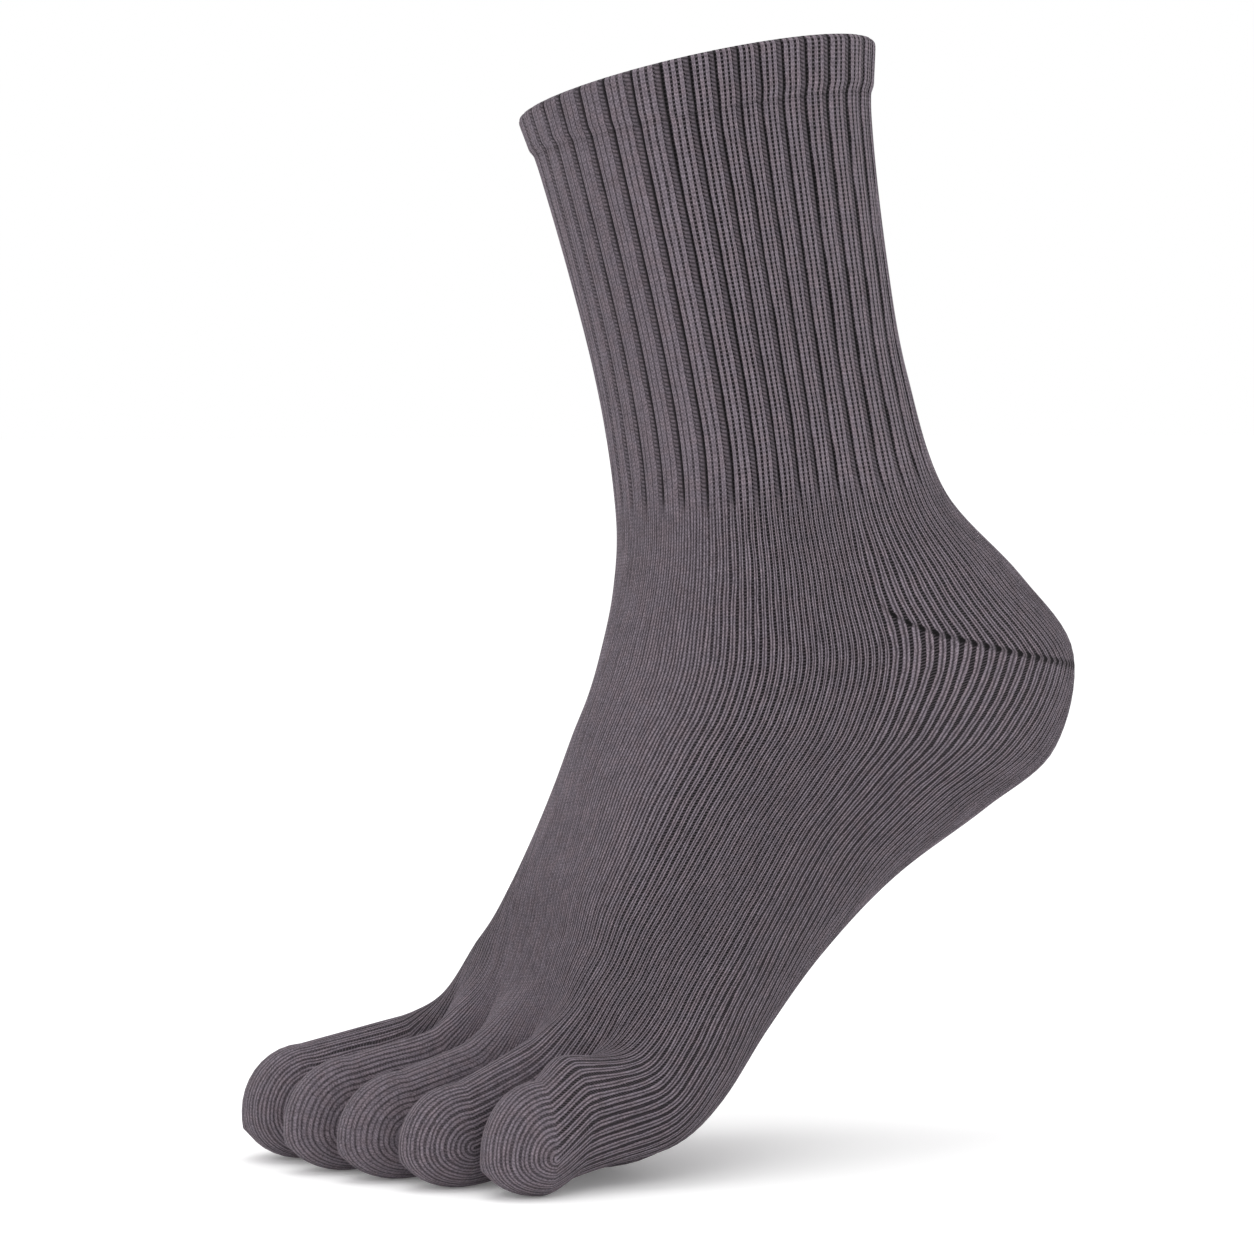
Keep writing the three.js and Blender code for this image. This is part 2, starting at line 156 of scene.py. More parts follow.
def sections_at(station):
    """Rows of the table at any stations: cubic Hermite curves whose slopes are central differences."""
    last = len(stations) - 1
    before = np.maximum(np.arange(last + 1) - 1, 0)
    after = np.minimum(np.arange(last + 1) + 1, last)
    slope = (section_rows[after] - section_rows[before]) / (stations[after] - stations[before])[:, None]
    i = np.clip(np.searchsorted(stations, station, side="right") - 1, 0, last - 1)
    h = (stations[i + 1] - stations[i])[:, None]
    t = (station - stations[i])[:, None] / h
    return (
        (2 * t**3 - 3 * t**2 + 1) * section_rows[i]
        + (t**3 - 2 * t**2 + t) * h * slope[i]
        + (3 * t**2 - 2 * t**3) * section_rows[i + 1]
        + (t**3 - t**2) * h * slope[i + 1]
    )


def half_sections(station, share, front):
    """One half of each section, at shares of its own length from the little-toe side to the big-toe side.

    A point is centre + reach |sin a|^(2/power) + width |cos a|^(2/power) across, a from 0 to pi, then raised
    by tilt and set back by slant for each metre across. The shares are found on the running length of that
    curve. The rows' lengths are set 2 apart, so that one interpolation serves them all.
    """
    row = sections_at(station)
    front_x, front_z, back_x, back_z, lateral, medial, centre_y, level, ridge, *shape = row.T
    front_power, back_power, tilt, slant = shape
    centre_x = front_x + (back_x - front_x) * level
    centre_z = front_z + (back_z - front_z) * level
    centre = np.stack([centre_x, centre_y, centre_z], -1)
    tip = np.stack([front_x, ridge, front_z] if front else [back_x, centre_y, back_z], -1)
    power = (front_power if front else back_power)[:, None]
    angle = np.linspace(0, math.pi, SECTION_SAMPLES)[None, :]
    side = np.cos(angle)
    width = np.where(side > 0, -lateral[:, None], medial[:, None])
    reach = np.abs(np.sin(angle)) ** (2 / power)
    points = centre[:, None, :] + reach[..., None] * (tip - centre)[:, None, :]
    points[..., 1] += np.abs(side) ** (2 / power) * width
    off = points[..., 1] - centre_y[:, None]
    points[..., 2] += tilt[:, None] * off
    points[..., 0] -= slant[:, None] * off
    run = distance_along(points, 1)
    apart = 2.0 * np.arange(len(row))[:, None]
    run = run / run[:, -1:] + apart
    wanted = share[None, :] + apart
    index = np.interp(wanted.ravel(), run.ravel(), np.arange(run.size)).reshape(wanted.shape)
    flat = points.reshape(-1, 3)
    low = np.minimum(index.astype(int), len(flat) - 2)
    part = (index - low)[..., None]
    return flat[low] * (1 - part) + flat[low + 1] * part


class Toe:
    """One toe pocket: its row of the table in metres, its place in the row of toes and its wales."""

    def __init__(self, name, row, root_edge, first_wale, webs):
        self.name = name
        self.wales = row[0]
        self.tip_x, self.tip_y, self.half_root, self.half_tip, *rest = row[1:] * TOE_SCALE
        self.top_root, self.top_tip, self.bottom_root, self.turn, self.nose = rest
        self.root_y = root_edge + self.half_root
        self.webs = webs
        self.columns = slice(first_wale * COLUMNS_PER_WALE, (first_wale + self.wales) * COLUMNS_PER_WALE + 1)
        self.angle = self.even_angles(self.wales * COLUMNS_PER_WALE)

    def even_angles(self, steps):
        """Angles across the toe at even steps of the root ellipse's own length."""
        angle = np.linspace(0, math.pi, TOE_SAMPLES)
        rise = (self.top_root - self.bottom_root) / 2
        arc = distance_along(np.stack([self.half_root * np.cos(angle), rise * np.sin(angle)], -1), 0)
        return np.interp(np.linspace(0, arc[-1], steps + 1), arc, angle)

    def web_line(self):
        """The x where the toe leaves the foot, eased from its outer web to its inner web."""
        return self.webs[0] + (self.webs[1] - self.webs[0]) * (1 - np.cos(self.angle)) / 2

    def section(self, x, sheet):
        """The top (sheet 1) or sole (sheet -1) of the toe at each x: half an ellipse across, from side to side.

        Its share t of the way from root to tip is drawn in to t / (1 - 2t) behind the root.
        """
        root = self.web_line()
        t = (x - root) / (self.tip_x + self.turn - root)
        t = np.where(t < 0, t / np.where(t < 0, 1 - 2 * t, 1), t)
        sole = self.bottom_root * (1 - np.clip(t, 0, 1)) ** 2
        top = self.top_root + (self.top_tip - self.top_root) * t
        side_root = (self.top_root + self.bottom_root) / 2
        side = side_root + (self.nose - side_root) * t
        reach = top - side if sheet > 0 else side - sole
        half = self.half_root + (self.half_tip - self.half_root) * t
        y = self.root_y + (self.tip_y - self.root_y) * t - half * np.cos(self.angle)
        return np.stack([x, y, TOE_LIFT + side + sheet * reach * np.sin(self.angle)], -1)

    def end(self, turn):
        """The rounded end, from the top over the nose to the sole, turn running from 0 to pi."""
        turn = turn[:, None]
        reach = np.where(turn < math.pi / 2, self.top_tip - self.nose, self.nose)
        bend = self.tip_x + self.turn
        x = bend - self.turn * np.sin(turn) * np.sin(self.angle)
        y = self.tip_y - self.half_tip * np.cos(self.angle) + 0 * x
        return np.stack([x, y, TOE_LIFT + self.nose + reach * np.cos(turn) * np.sin(self.angle)], -1)


def make_toes():
    """The five toes side by side from the little toe's outer side."""
    made, edge, wale = [], LITTLE_SIDE_Y, 0
    for index, (name, row) in enumerate(TOES.items()):
        made.append(Toe(name, row, edge, wale, WEB_X[index : index + 2]))
        edge += 2 * made[-1].half_root
        wale += made[-1].wales
    return made


toes = make_toes()
half_shares = np.linspace(0, 1, HALF_WALES * COLUMNS_PER_WALE + 1)


def valley_mix(station):
    """How far the section has turned into five toes: 0 behind the valleys, and 1 at the webs, by a power."""
    start = station_of(VALLEY_START)
    return np.clip((station - start) / (stations[-1] - start), 0, 1) ** VALLEY_POWER


def tube_halves(station):
    """Front and back halves of the sections at these stations, blended into the toes' lobes near the webs."""
    mix = valley_mix(station)[:, None, None]
    halves = []
    for front in (True, False):
        oval = half_sections(station, half_shares, front)
        web = half_sections(stations[-1:], half_shares, front)[0]
        lobes = np.zeros_like(oval)
        share = np.zeros(len(half_shares))
        for toe in toes:
            x = oval[:, toe.columns, 0] + toe.web_line() - web[toe.columns, 0]
            lobes[:, toe.columns] += toe.section(x, 1 if front else -1)
            share[toe.columns] += 1
        halves.append(oval + mix * (lobes / share[:, None] - oval))
    return halves


# The cloth as one smooth sheet for each half, sampled finely along the sock, to be read at any station.
dense_stations = np.linspace(0, stations[-1], SHEET_ROWS)
dense_front, dense_back = tube_halves(dense_stations)


def read_sheet(sheet, station, share):
    """Points of a dense sheet at arrays of stations and shares, mixed from its four nearest samples."""
    row = np.clip(station / stations[-1], 0, 1) * (len(dense_stations) - 1)
    column = np.clip(share, 0, 1) * (sheet.shape[1] - 1)
    i = np.minimum(row.astype(int), sheet.shape[0] - 2)
    j = np.minimum(column.astype(int), sheet.shape[1] - 2)
    a, b = (row - i)[..., None], (column - j)[..., None]
    upper = sheet[i, j] * (1 - b) + sheet[i, j + 1] * b
    lower = sheet[i + 1, j] * (1 - b) + sheet[i + 1, j + 1] * b
    return upper * (1 - a) + lower * a


# Heel: the seam of the heel pocket runs from the side of the ankle down to the heel's back. Wales of the back
# half swing towards the heel's back down to it, turn sharply there and swing back below it.
SEAM_RISE = 9.6 * MM
SEAM_DROP = 2.6 * MM
SEAM_HOOK = 3.6 * MM
SEAM_REACH = 40 * MM
HEEL_SWING = 0.085
SWING_END = 40 * MM

# Stretch: at the sides wales are drawn apart by these shares of a half, which fade from row STRETCH_END on.
LEG_STRETCH = 0.024
FOOT_STRETCH = 0.05
STRETCH_END = 12.5

# Lean: wales of the little-toe side run forward down the sock, so above the heel seam and above the webs they
# lie behind their even places by these shares of a half. In the foot this is narrower, and nearer the front.
ANKLE_LEAN = 0.03
ANKLE_LEAN_START = RIB_END - 0.6
TOE_LEAN = 0.09
LEAN_START = 9
LEAN_PAST = 14 * MM
LEAN_MIDDLE = 0.15
LEAN_WIDTH = 0.5

# Lift: right at that side wales lie higher than their even places, down to the webs.
SIDE_LIFT = 0.062
LIFT_START = 11.5
LIFT_WIDTH = 0.3

# Mark of points of the foot that lie nowhere near the heel seam.
NO_SEAM = 99.0


def seam_lift(share, front):
    """How far the seam lies above its table row, with e = |1 - 2 share| being 1 at the sides and 0 behind.

    Behind it is (rise + drop) e^4 - drop + hook e^30, and in front of the sides it soon fades with e^8.
    """
    edge = np.abs(1 - 2 * share)
    if front:
        return (SEAM_RISE + SEAM_HOOK) * edge**8
    return (SEAM_RISE + SEAM_DROP) * edge**4 - SEAM_DROP + SEAM_HOOK * edge**30


def bent_station(station, share, front):
    """Station of a mesh row at each share, bent by the seam's lift times (1 - d^2)^2, d the way from it."""
    way = (station - station_of(HEEL_SEAM)) / SEAM_REACH
    return station - seam_lift(share, front) * np.clip(1 - way**2, 0, 1) ** 2


def stretch(station):
    """How far wales are drawn apart at the sides: more in the foot than in the leg, and not at the webs."""
    foot = smoothstep(station, station_of(RIB_END - 1), station_of(HEEL_SEAM))
    webs = smoothstep(station, station_of(STRETCH_END), stations[-1])
    return (LEG_STRETCH + (FOOT_STRETCH - LEG_STRETCH) * foot) * (1 - webs)


def wale_share(station, share, front):
    """Share of its half at which a wale lies: share + (stretch + swing) sin(2 pi share).

    The swing is the back half's own, and peaks in a sharp turn at the heel seam.
    """
    start = station_of(RIB_END)
    seam = station_of(HEEL_SEAM) - seam_lift(share, False)
    above = np.clip((station - start) / (seam - start), 0, 1) ** 3
    below = np.clip(1 - (station - seam) / SWING_END, 0, 1) ** 2
    swing = 0 if front else HEEL_SWING * np.where(station < seam, above, below)
    return share + (stretch(station) + swing) * np.sin(2 * math.pi * share)


def fading(station, amount, start, end):
    """An amount that falls to 0 by a smooth step between two stations."""
    return amount * (1 - smoothstep(station, start, end))


def hump(way, width):
    """The cos^2 of a quarter turn over the width: 1 at the middle and 0 from the width on."""
    return np.cos(math.pi / 2 * np.clip(way / width, -1, 1)) ** 2


def toe_lean(station):
    """The lean towards the toes, which starts to fade at LEAN_START and would end past the webs."""
    return fading(station, TOE_LEAN, station_of(LEAN_START), stations[-1] + LEAN_PAST)


def tube_places(rows, every=1):
    """Station and way round of a tube grid's points: from 0 over the front to 1, then from -1 behind to 0.

    Way 0 is the little-toe side, where wales lie back by their lean and forward by their lift, each times a
    hump of the way round. The lean towards the toes is less its value at the webs, and so 0 there.
    """
    shares = half_shares[::every]
    station, around = np.meshgrid(rows, np.concatenate([shares, -shares[-2::-1]]), indexing="ij")
    foot = smoothstep(station, station_of(RIB_END), station_of(LEAN_START))
    side = hump(around - LEAN_MIDDLE * foot, 1 + (LEAN_WIDTH - 1) * foot)
    ankle = fading(station, ANKLE_LEAN, station_of(ANKLE_LEAN_START), station_of(HEEL_SEAM))
    lean = (ankle + toe_lean(station) - toe_lean(stations[-1])) * side
    lift = fading(station, SIDE_LIFT, station_of(LIFT_START), stations[-1]) * hump(around, LIFT_WIDTH)
    return station, around - lean + lift


def tube_grid(rows, every=1):
    """The tube at these stations as one grid: columns run over the front to the big-toe side and back behind."""
    station, around = tube_places(rows, every)
    share = np.abs(around)
    halves = []
    for front, sheet in ((True, dense_front), (False, dense_back)):
        bent = bent_station(station, share, front)
        halves.append(read_sheet(sheet, bent, wale_share(bent, share, front)))
    return np.where((around >= 0)[..., None], *halves)


def tube_wales(every=1):
    """Wale number of each column of a tube grid."""
    return np.linspace(0, 2 * HALF_WALES, 2 * (len(half_shares) - 1) // every + 1)


def tube_seam(rows, every=1):
    """How far each point of a tube grid lies past the heel seam, in mm, or NO_SEAM over the front."""
    station, around = tube_places(rows, every)
    return np.where(around < 0, (station - station_of(HEEL_SEAM)) / MM, NO_SEAM)


def course_counts(points, course, start=0.0):
    """Course number at each point: the way down its column over the height of a course."""
    return start + distance_along(points, 0) / course


def wale_ridge(wale):
    """Height of a wale over the mean of the cloth: low between wales, with two strands and a dip between them.

    With u the part of the wale it is relief x (sin(pi u) + 0.4 |sin(2 pi u)| - 0.9).
    """
    part = wale - np.floor(wale)
    return WALE_RELIEF * (np.sin(math.pi * part) + 0.4 * np.abs(np.sin(2 * math.pi * part)) - 0.9)


# Cross-section of one rib, counted in wales from the furrow: its height over the cloth in millimetres.
RIB_PLACES = [0, 0.12, 0.35, 0.6, 0.9, 1.15, 1.5, 2.5, 3.5, 3.8, 4]
RIB_HEIGHTS = [-0.5, -0.55, -0.3, -0.2, -0.16, -0.05, 0.05, 0.1, 0.05, -0.15, -0.5]


def rib_height(wale):
    """Height of the rib: a narrow furrow, a low purl wale beside it, then three raised wales."""
    return np.interp(wale % WALES_PER_RIB, RIB_PLACES, RIB_HEIGHTS) * MM


# Shares of the tube from the nearer ridge, between which the stitches open from closed to fully open.
OPEN_START = 0.04
OPEN_FULL = 0.26


def openness(wale):
    """How far the stitches are stretched open: 1 at the sides, 0 over the front ridge and behind."""
    share = (wale % HALF_WALES) / HALF_WALES
    return smoothstep(np.abs(share - 0.5), OPEN_START, OPEN_FULL)


# Points where two toes part, and how far their fuzz reaches.
webs = np.array([toe.section(toe.web_line(), 1)[-1] for toe in toes[:-1]])
WEB_FUZZ = 12 * MM


def web_fuzz(points):
    """How much the stitches are smoothed by the webs: exp(-d^2 / r^2) of the way to the nearest web."""
    away = np.linalg.norm(points[:, None, :] - webs[None], axis=2).min(axis=1)
    return np.exp(-((away / WEB_FUZZ) ** 2))


# The least length a normal is divided by.
TINY = 1e-20


def vertex_normals(points, quads):
    """Unit normals: the sum, over the faces round a point, of the cross product of their diagonals."""
    across = np.cross(points[quads[:, 2]] - points[quads[:, 0]], points[quads[:, 3]] - points[quads[:, 1]])
    normal = np.zeros_like(points)
    for corner in range(4):
        np.add.at(normal, quads[:, corner], across)
    return normal / np.maximum(np.linalg.norm(normal, axis=1, keepdims=True), TINY)


# Points closer than this are one. Calm cloth has at least CALM_FUZZ, and its stitches are open less by a share.
WELD = 0.001 * MM
CALM_FUZZ = 0.45
CALM_CLOSING = 0.5


class Cloth:
    """Grids of points with their stitch counts, welded into one closed mesh with an inside wall."""

    def __init__(self, name):
        self.name = name
        self.grids = []
        self.rims = []
        self.total = 0

    def grid(self, points, wales, courses, lift, mark=NO_SEAM, inside=False, calm=0.0):
        """Adds a grid of rows and columns, which faces along columns x rows, and returns its point numbers.

        The mark is the strength of the rib in ribbed pieces, and the way past the heel seam in the foot. Calm
        cloth, at 1, has closed and fuzzy stitches.
        """
        shape = points.shape[:2]
        fields = [np.broadcast_to(value, shape).ravel() for value in (wales, courses, lift, mark, calm)]
        ids = np.arange(shape[0] * shape[1]).reshape(shape) + self.total
        self.grids.append((points.reshape(-1, 3), np.stack(fields, -1), np.full(ids.size, inside), ids))
        self.total += ids.size
        return ids

    def rim(self, outer, inner, last):
        """Closes the wall at its last or first row: every inner point is joined to a fan of outer points."""
        fan = (len(outer) - 1) // (len(inner) - 1)
        i = np.arange(len(outer) - 1)
        j = np.arange(len(inner) - 1)
        fans = np.stack([outer[i], outer[i + 1], inner[i // fan]], -1)
        links = np.stack([outer[(j + 1) * fan], inner[j + 1], inner[j]], -1)
        both = np.vstack([fans, links])
        self.rims.append(both if last else both[:, ::-1])

    def mesh(self):
        """Welds equal points of a side, moves each along its normal by its lift, and writes the mesh."""
        points, fields, inside = (np.concatenate([grid[k] for grid in self.grids]) for k in range(3))
        sides = [[g[:-1, :-1], g[:-1, 1:], g[1:, 1:], g[1:, :-1]] for *_, g in self.grids]
        quads = np.vstack([np.stack(corners, -1).reshape(-1, 4) for corners in sides])
        keys = np.column_stack([np.round(points / WELD).astype(np.int64), inside])
        _, first, ids = np.unique(keys, axis=0, return_index=True, return_inverse=True)
        ids = ids.reshape(-1)
        base = points[first]
        base = base + vertex_normals(base, ids[quads]) * fields[first, 2:3]
        quads = np.where(inside[quads[:, 0]][:, None], quads[:, ::-1], quads)
        corners = np.vstack([quads[:, [0, 1, 2]], quads[:, [0, 2, 3]], *self.rims])
        triangles = ids[corners]
        whole = (triangles != np.roll(triangles, 1, axis=1)).all(axis=1)
        smooth = (np.arange(len(corners)) < 2 * len(quads))[whole]
        corners, triangles = corners[whole], triangles[whole]

        mesh = bpy.data.meshes.new(self.name)
        mesh.from_pydata((base - ORIGIN).tolist(), [], triangles.tolist())
        mesh.polygons.foreach_set("use_smooth", smooth)
        layer = mesh.uv_layers.new(name="stitches")
        layer.data.foreach_set("uv", fields[corners.ravel(), :2].astype(np.float32).ravel())
        calm = fields[first, 4]
        extra = (
            ("mark", fields[first, 3]),
            ("fuzz", np.maximum(web_fuzz(points[first]), CALM_FUZZ * calm)),
            ("open", openness(fields[first, 0]) * (1 - CALM_CLOSING * calm)),
        )
        for name, values in extra:
            layer = mesh.attributes.new(name, "FLOAT", "POINT")
            layer.data.foreach_set("value", values.astype(np.float32))
        return mesh


# The knot on a toe: its place across the toe and over the nose, its height and its radius.
KNOT_ACROSS = math.radians(106)
KNOT_TURN = math.radians(109)
KNOT_HEIGHT = 0.6 * MM
KNOT_RADIUS = 1.5 * MM


def toe_knot(toe, points):
    """The small knot where a toe's yarn ends, on its front near the nose: height x exp(-d^2 / r^2)."""
    across = np.interp(KNOT_ACROSS, toe.angle, np.arange(len(toe.angle)))
    knot = toe.end(np.array([KNOT_TURN]))[0, round(float(across))]
    away = np.linalg.norm(points - knot, axis=-1)
    return KNOT_HEIGHT * np.exp(-((away / KNOT_RADIUS) ** 2))


def put(mesh, material, slot_name, *nodes):
    """Makes the object of a finished mesh, which stands for these CAD nodes."""
    piece = bpy.data.objects.new(mesh.name, mesh)
    bpy.context.collection.objects.link(piece)
    mesh.materials.append(material)
    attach(piece, "root")
    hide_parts(*nodes)
    return piece


# Where the pieces meet, with a hair's breadth between them.
welt_end = station_of(WELT_END)
rib_end = station_of(RIB_END)
web_end = stations[-1]
HAIR = 0.001 * MM

# Rows of the ribbed pieces: over the rounded rim, above the welt's lower edge, close together at the end of the
# ribs, where leg and foot need the same shading, and the numbers of even rows outside and inside.
RIM_ROUND = 1.2 * MM
RIM_ROWS = np.array([0, 0.1, 0.3, 0.65, 1.2]) * MM
WELT_STEP = 2.4 * MM
STEP_ROWS = np.array([2.4, 1.8, 1.2, 0.6, 0]) * MM
CLOSE_ROWS = np.array([0, 0.15, 0.4, 0.9, 1.7]) * MM
WELT_ROWS, WELT_ROWS_INSIDE = 12, 6
LEG_ROWS, LEG_ROWS_INSIDE = 73, 14
last_leg_rows = rib_end - HAIR - CLOSE_ROWS[::-1]
leg_rows = np.concatenate([np.linspace(welt_end + HAIR, last_leg_rows[0], LEG_ROWS)[:-1], last_leg_rows])

# Ribs fade out above the ankle, are lower in the welt and inside, and are marked half as strong inside.
RIB_FADE = 9 * MM
WELT_RIBS = 0.8
INSIDE_RIBS = 0.3
INSIDE_MARK = 0.5
EVERY_INSIDE = 2


def rim_drop(station):
    """How far the rounded rim falls away from the wall: a quarter circle over the first RIM_ROUND of the way."""
    way = np.clip(1 - station / RIM_ROUND, 0, 1)
    return RIM_ROUND * (1 - np.sqrt(1 - way**2))


def ribbed_mesh(name, rows, lift, mark, inside_rows, depth):
    """A ribbed tube closed at both ends: the outer rows with their lift, and the inner ones at a depth."""
    cloth = Cloth(name)
    points = tube_grid(rows)
    outer = cloth.grid(points, tube_wales(), course_counts(points, RIB_COURSE), lift, mark)
    points = tube_grid(inside_rows, EVERY_INSIDE)
    wales = tube_wales(EVERY_INSIDE)
    lift = np.reshape(depth, (-1, 1)) - INSIDE_RIBS * rib_height(wales)
    inner = cloth.grid(points, wales, course_counts(points, RIB_COURSE), lift, INSIDE_MARK, True)
    cloth.rim(outer[0], inner[0], False)
    cloth.rim(outer[-1], inner[-1], True)
    return cloth.mesh()


def make_welt():
    """The turned-over band: it bulges past the leg, rounds over the rim and steps in at its lower edge."""
    lower = welt_end - STEP_ROWS - HAIR
    rows = np.concatenate([RIM_ROWS, np.linspace(RIM_ROWS[-1], lower[0], WELT_ROWS)[1:-1], lower])
    step = smoothstep(welt_end - rows, 0, WELT_STEP)
    relief = WELT_RIBS * rib_height(tube_wales()) + wale_ridge(tube_wales())
    lift = (WELT_BULGE * step - rim_drop(rows))[:, None] + relief
    inside = np.concatenate([RIM_ROWS, np.linspace(RIM_ROWS[-1], welt_end - HAIR, WELT_ROWS_INSIDE)[1:]])
    return ribbed_mesh("knit_welt", rows, lift, 1.0, inside, rim_drop(inside) - WELT_WALL + WELT_BULGE)


def make_leg():
    """The ribbed leg, whose ribs fade out over the last millimetres above the ankle."""
    fade = smoothstep(rib_end - leg_rows, 0, RIB_FADE)[:, None]
    lift = fade * rib_height(tube_wales()) + wale_ridge(tube_wales())
    inside = np.linspace(welt_end + HAIR, rib_end - HAIR, LEG_ROWS_INSIDE)
    return ribbed_mesh("knit_leg", leg_rows, lift, fade, inside, -LEG_WALL)


# How far a toe starts in the foot's direction: 1 would be wholly, and 0 would be a sharp turn at its root.
ROOT_TURN = 0.6


def toe_grid(toe, front, back, along, turning, every=1):
    """A toe pocket as one grid from the top of its root over the tip and back to the sole of its root.

    Front and back are the foot's last two rows. The grid starts on the last one and in its direction: what
    differs from the toe's own root fades by (1 - t)^3 along the toe, and the turn away from the foot's
    direction by t (1 - t)^3, less so beside a neighbouring toe. Three times the shift makes up for the slope
    of (1 - t)^3.
    """
    t = np.linspace(0, 1, along + 1)[:, None]
    root = toe.web_line()[None, :]
    x = root + (toe.tip_x + toe.turn - root) * t
    outer = np.zeros(len(toe.angle), bool)
    if toe is toes[0]:
        outer = toe.angle < math.pi / 2
    elif toe is toes[-1]:
        outer = toe.angle > math.pi / 2
    freedom = ROOT_TURN * np.where(outer, 1, np.sin(toe.angle))[:, None]
    sheets = []
    for sheet, (before, edge) in ((1, front), (-1, back)):
        points = toe.section(x, sheet)
        slope = (points[1] - points[0]) * along
        way = edge - before
        way *= np.linalg.norm(slope, axis=1, keepdims=True) / np.linalg.norm(way, axis=1, keepdims=True)
        fade = ((1 - t) ** 3)[..., None]
        shift = edge - points[0]
        points = points + fade * (shift + t[..., None] * freedom * (way - slope + 3 * shift))
        points[0] = edge
        sheets.append(points)
    nose = toe.end(np.linspace(0, math.pi, turning + 1))[1:-1]
    return np.concatenate([sheets[0], nose, sheets[1][::-1]])[:, ::every]


# Calm cloth of the toes: least on the little-toe side, full from their ridge on, and strong at the nose. The
# little-toe side of each toe thus keeps its dark gaps: partly real fold furrows and partly painted shade, as that
# side lies in shade.
CALM_LEAST = 0.15
CALM_NOSE = 0.8


def toe_calm(toe, rows, every):
    """How calm the cloth of a toe's grid is: smooth steps along it, across it and past its top to the nose."""
    along = smoothstep(np.sin(np.linspace(0, math.pi, rows)), 0.1, 0.9)[:, None]
    nose = smoothstep(np.linspace(0, 1, rows), 0.2, 0.36)[:, None]
    across = CALM_LEAST + (1 - CALM_LEAST) * smoothstep(toe.angle[::every], 0.7, 1.5)
    return along * np.maximum(across, CALM_NOSE * nose)


# The foot's grids: whether it is the inside, every how many columns, the way between rows, and the rows along a
# toe and over its nose. The toes take their direction from two rows LAST_STEP apart.
FOOT_GRIDS = ((False, 1, 2.0 * MM, (13, 18)), (True, 4, 7.0 * MM, (5, 9)))
LAST_STEP = 0.5 * MM


def make_foot():
    """Ankle, heel and foot in one piece with the five toe pockets, its courses counted on from the leg's last."""
    cloth = Cloth("knit_foot")
    leg_courses = course_counts(tube_grid(leg_rows), RIB_COURSE)[-1]
    seam_row = station_of(HEEL_SEAM)
    last_rows = tube_grid(web_end - np.array([LAST_STEP, 0]))
    front, back = last_rows[:, : len(half_shares)], last_rows[:, ::-1][:, : len(half_shares)]
    ends = []
    for inside, every, spacing, steps in FOOT_GRIDS:
        spans = [(rib_end + HAIR, seam_row), (seam_row, web_end)]
        counts = [max(2, round((b - a) / spacing)) for a, b in spans]
        rows = np.concatenate([np.linspace(*spans[0], counts[0] + 1), np.linspace(*spans[1], counts[1] + 1)[1:]])
        rows = np.concatenate([rows[0] + CLOSE_ROWS[:-1], rows[1:]])
        points = tube_grid(rows, every)
        courses = course_counts(points, COURSE, leg_courses[::every])
        wales = tube_wales(every)
        lift = -KNIT_WALL if inside else wale_ridge(wales)
        ids = cloth.grid(points, wales, courses, lift, tube_seam(rows, every), inside)
        ends.append(ids[0])
        for toe in toes:
            columns = slice(toe.columns.start // every, (toe.columns.stop - 1) // every + 1)
            grid = toe_grid(toe, front[:, toe.columns], back[:, toe.columns], *steps, every)
            counted = course_counts(grid, COURSE, courses[-1, columns])
            lift = -KNIT_WALL if inside else wale_ridge(wales[columns]) + toe_knot(toe, grid)
            calm = toe_calm(toe, len(grid), every)
            cloth.grid(grid, wales[columns], counted, lift, inside=inside, calm=calm)
    cloth.rim(*ends, False)
    return cloth.mesh()


# Node groups and materials.
def node(tree, kind, **values):
    """Adds a shader node and sets its own fields."""
    made = tree.nodes.new(kind)
    for name, value in values.items():
        setattr(made, name, value)
    return made


def feed(tree, made, *values):
    """Sets or links the inputs of a node in their order."""
    for socket, value in zip(made.inputs, values):
        if isinstance(value, bpy.types.NodeSocket):
            tree.links.new(value, socket)
        else:
            socket.default_value = value
    return made


def set_inputs(made, values):
    """Sets inputs of a node by their names."""
    for name, value in values.items():
        made.inputs[name].default_value = value


def maths(tree, operation, *values):
    """Output of a Math node."""
    return feed(tree, node(tree, "ShaderNodeMath", operation=operation), *values).outputs[0]


def ramp(tree, value, low, high):
    """Output of a Map Range node: a smooth step from 0 at low to 1 at high, whichever is larger."""
    made = node(tree, "ShaderNodeMapRange", interpolation_type="SMOOTHSTEP")
    return feed(tree, made, value, low, high, 0.0, 1.0).outputs[0]


def noise(tree, vector, scale, detail, roughness=0.5):
    """Value of a Noise Texture."""
    made = node(tree, "ShaderNodeTexNoise")
    set_inputs(made, {"Scale": scale, "Detail": detail, "Roughness": roughness})
    tree.links.new(vector, made.inputs["Vector"])
    return made.outputs["Fac"]


def scaled(tree, vector, factors):
    """A vector times three factors: in stitches, a small second one draws noise out along the wales."""
    return feed(tree, node(tree, "ShaderNodeVectorMath", operation="MULTIPLY"), vector, factors).outputs[0]


def darker(tree, tone, mask, amount):
    """A tone times 1 - amount x mask."""
    return maths(tree, "MULTIPLY", tone, maths(tree, "MULTIPLY_ADD", mask, -amount, 1.0))


def new_group(name, vectors, numbers, outputs):
    """An empty shader node group: vector inputs, number inputs with their defaults, and number outputs."""
    group = bpy.data.node_groups.new(name, "ShaderNodeTree")
    for label in vectors:
        group.interface.new_socket(label, in_out="INPUT", socket_type="NodeSocketVector")
    for label, default in numbers.items():
        socket = group.interface.new_socket(label, in_out="INPUT", socket_type="NodeSocketFloat")
        socket.default_value = default
    for label in outputs:
        group.interface.new_socket(label, in_out="OUTPUT", socket_type="NodeSocketFloat")
    return group, group.nodes.new("NodeGroupInput"), group.nodes.new("NodeGroupOutput")
